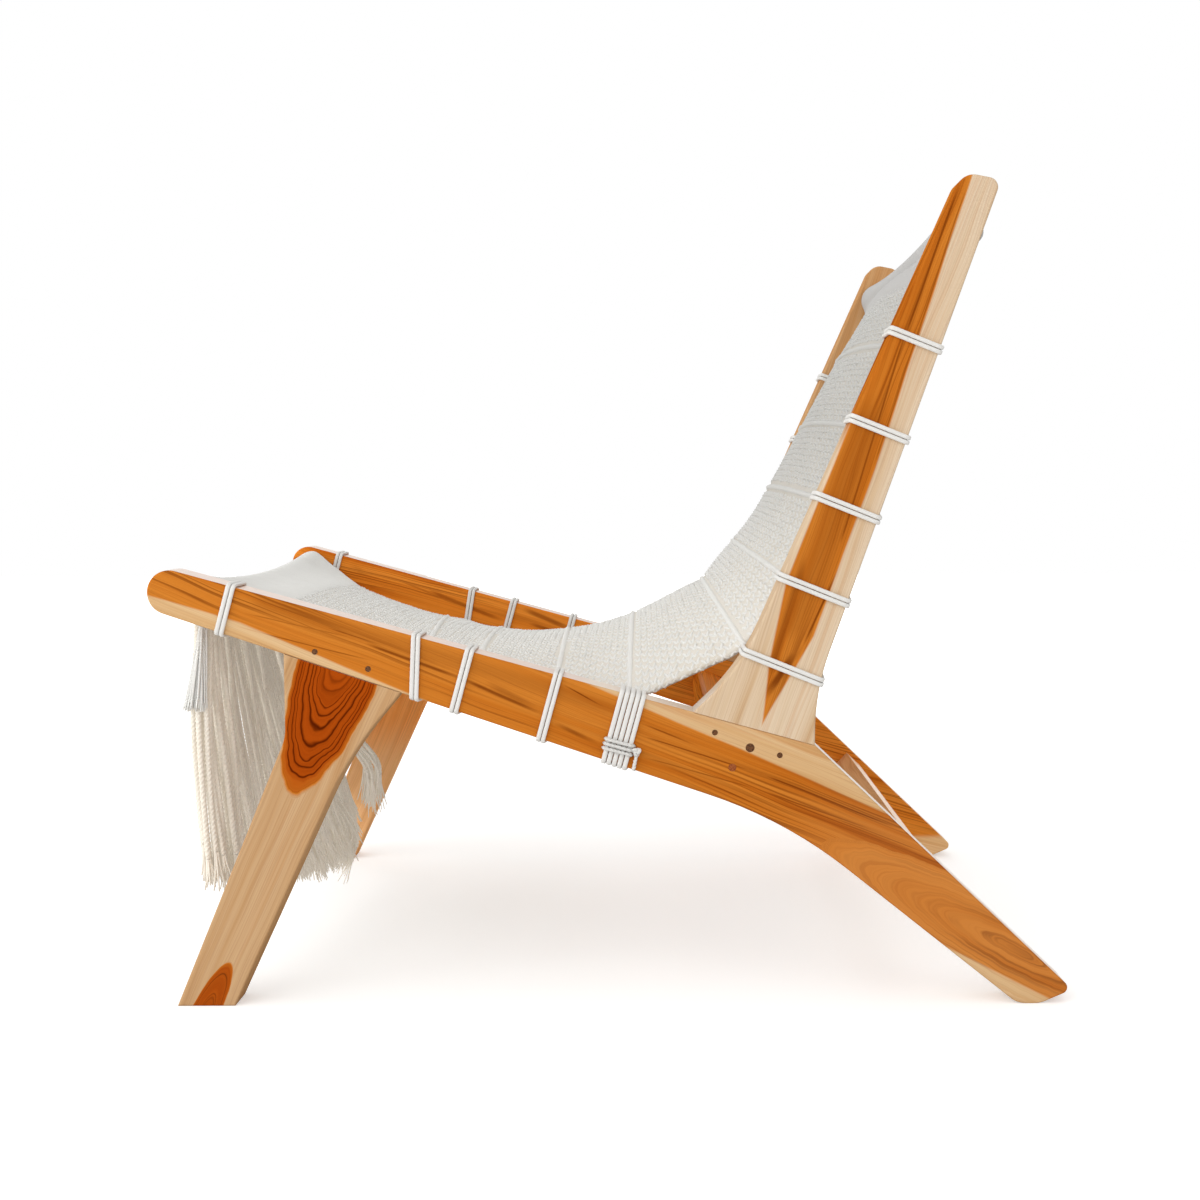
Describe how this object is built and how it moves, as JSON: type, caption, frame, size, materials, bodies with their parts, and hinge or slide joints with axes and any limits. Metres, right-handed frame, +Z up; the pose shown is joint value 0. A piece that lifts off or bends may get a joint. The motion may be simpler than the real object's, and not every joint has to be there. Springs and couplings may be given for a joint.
{
  "type": "lounge chair",
  "caption": "Low lounge chair with a solid teak frame and a knotted cotton sling laced between its side frames, fringed at the front.",
  "frame": {"origin": "on the floor, under the middle of the chair's bounding box", "axes": "+X to the sitter's left, -Y to the front, +Z up"},
  "size_m": [0.6436, 0.8368, 0.7505],
  "materials": {
    "teak": "oiled, satin, orange-brown heartwood beside pale sapwood",
    "dark_peg": "dark oiled end grain",
    "screw_steel": "plain zinc-plated",
    "macrame_cotton": "matt natural white knotted cotton cord",
    "lace_cord": "matt natural white twisted cotton cord",
    "fringe_cotton": "matt natural white cotton cord, frayed ends"
  },
  "bodies": {
    "root": {"front_bar": "teak", "front_fringe": "fringe_cotton", "left_back_lace_1": "lace_cord", "left_back_lace_2": "lace_cord", "left_back_lace_3": "lace_cord", "left_back_lace_4": "lace_cord", "left_back_lace_5": "lace_cord", "left_back_post": "teak", "left_bundle_tie": "lace_cord", "left_cross_rail_screw": "screw_steel", "left_front_leg": "teak", "left_leg_tenon_pegs": "dark_peg", "left_post_tenon_pegs": "dark_peg", "left_screw_plug": "dark_peg", "left_seat_lace_1": "lace_cord", "left_seat_lace_2": "lace_cord", "left_seat_lace_3": "lace_cord", "left_seat_lace_4": "lace_cord", "left_seat_lace_5": "lace_cord", "left_seat_rail": "teak", "left_side_tuft": "fringe_cotton", "macrame_sling": "macrame_cotton", "rear_stretcher": "teak", "right_back_lace_1": "lace_cord", "right_back_lace_2": "lace_cord", "right_back_lace_3": "lace_cord", "right_back_lace_4": "lace_cord", "right_back_lace_5": "lace_cord", "right_back_post": "teak", "right_bundle_tie": "lace_cord", "right_cross_rail_screw": "screw_steel", "right_front_leg": "teak", "right_leg_tenon_pegs": "dark_peg", "right_post_tenon_pegs": "dark_peg", "right_screw_plug": "dark_peg", "right_seat_lace_1": "lace_cord", "right_seat_lace_2": "lace_cord", "right_seat_lace_3": "lace_cord", "right_seat_lace_4": "lace_cord", "right_seat_lace_5": "lace_cord", "right_seat_rail": "teak", "right_side_tuft": "fringe_cotton", "seat_cross_rail": "teak", "top_bar": "teak"}
  },
  "joints": []
}
